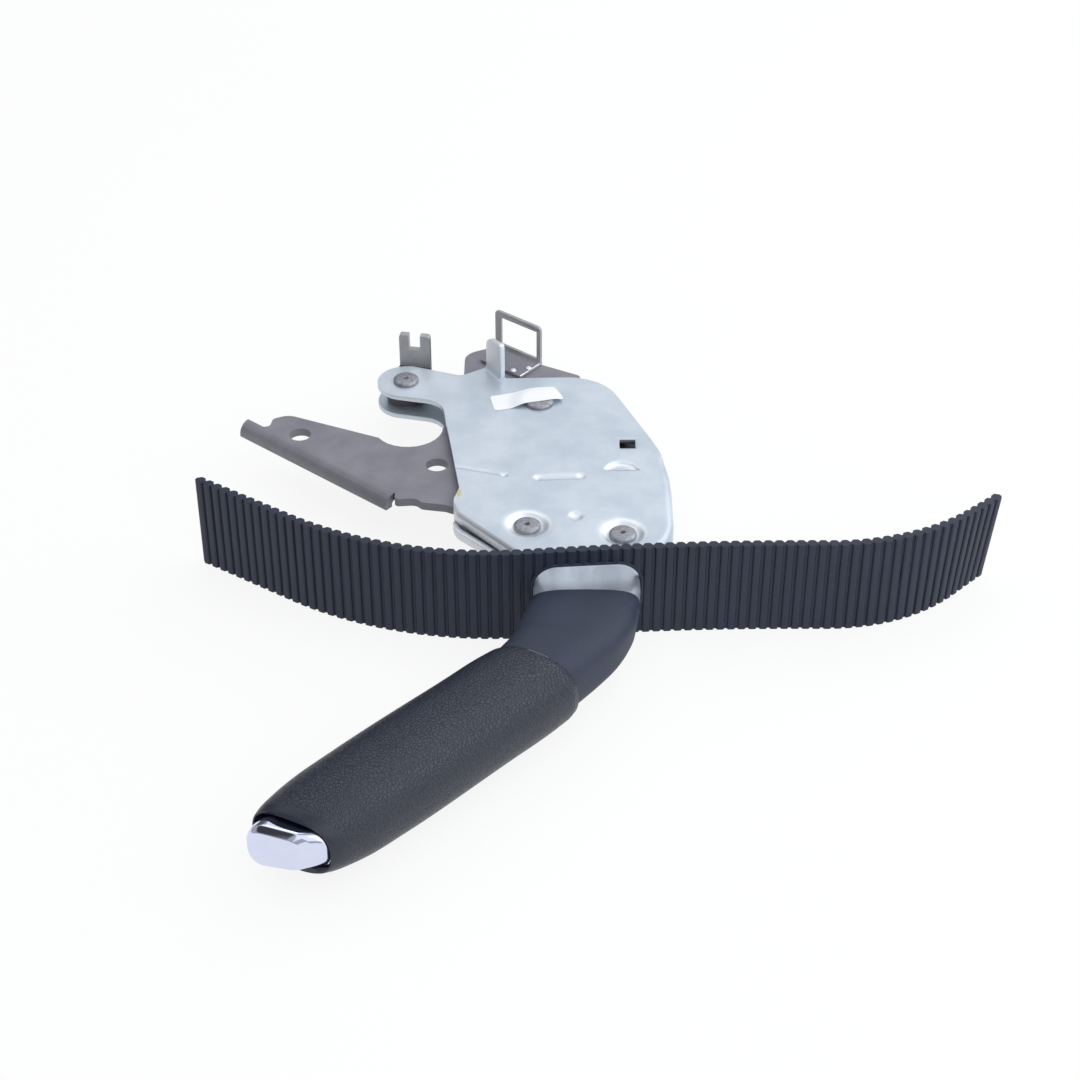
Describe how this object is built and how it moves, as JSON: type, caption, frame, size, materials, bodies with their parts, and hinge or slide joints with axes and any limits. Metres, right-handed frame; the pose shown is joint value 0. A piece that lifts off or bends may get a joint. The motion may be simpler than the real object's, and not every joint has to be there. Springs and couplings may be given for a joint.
{
  "type": "parking brake lever",
  "caption": "Cranked parking brake lever with pressed steel half shells, ratchet, cable yoke, soft grip, push button and a ribbed rubber slot cover strip.",
  "frame": {"origin": "midway between the two mounting holes, half way through the base plate's thickness", "axes": "+Z along the pivot axis, out of the half shell that carries the square window; +Y back along the neck, away from the hand; +X to the right"},
  "size_m": [0.3069, 0.3176, 0.0424],
  "materials": {
    "galvanised_steel": "bright zinc-plated pressed sheet, light blue-grey",
    "phosphated_steel": "matt grey phosphated steel plate",
    "plain_steel": "bare turned and headed steel",
    "spring_steel": "drawn spring wire",
    "sintered_bronze": "sintered bearing bronze",
    "chrome": "bright chrome on moulded plastic",
    "grip_cover": "soft moulded cover with a leather grain, charcoal",
    "collar_rubber": "smooth matt rubber, charcoal",
    "strip_rubber": "matt extruded rubber, blue-black",
    "core_plastic": "black moulded plastic"
  },
  "bodies": {
    "base": {"base_plate": "phosphated_steel", "guide_bracket": "phosphated_steel", "pivot_bush": "sintered_bronze", "pivot_washers": "plain_steel"},
    "lever": {"upper_shell": "galvanised_steel", "lower_shell": "galvanised_steel", "pivot_rivet": "plain_steel", "pawl_pin": "plain_steel", "arm_rivet": "plain_steel", "arm_spacer": "plain_steel", "spring_post": "plain_steel", "pawl_spring": "spring_steel", "yoke_pin": "plain_steel", "yoke_washers": "plain_steel", "collar": "collar_rubber", "grip_core": "core_plastic", "grip_cover": "grip_cover", "ribbed_strip": "strip_rubber"},
    "yoke": {"cable_yoke": "phosphated_steel"},
    "button": {"release_button": "chrome", "push_rod": "plain_steel", "rod_clip": "spring_steel", "button_spring": "spring_steel"},
    "pawl": {"pawl": "phosphated_steel"}
  },
  "joints": [
    {"name": "lever_pull", "type": "hinge", "parent": "base", "child": "lever", "pos_m": [0.06942, 0.02992, 0], "axis": [0, 0, 1], "range_deg": [0, 34]},
    {"name": "yoke_swivel", "type": "hinge", "parent": "lever", "child": "yoke", "pos_m": [0.01339, 0.04641, 0], "axis": [0, 0, 1], "range_deg": [-30, 20]},
    {"name": "button_press", "type": "slide", "parent": "lever", "child": "button", "axis": [0.6947, 0.7193, 0], "range_m": [0, 0.006], "stiffness_N_per_m": 1200, "springref_m": -0.004, "deforming": ["button_spring"]},
    {"name": "pawl_lift", "type": "hinge", "parent": "lever", "child": "pawl", "pos_m": [0.06492, -0.05708, 0], "axis": [0, 0, 1], "range_deg": [0, 20.1], "deforming": ["pawl_spring"]}
  ],
  "couplings": [
    {"joint": "pawl_lift", "follows": "button_press", "rad_per_m": 58.178}
  ]
}
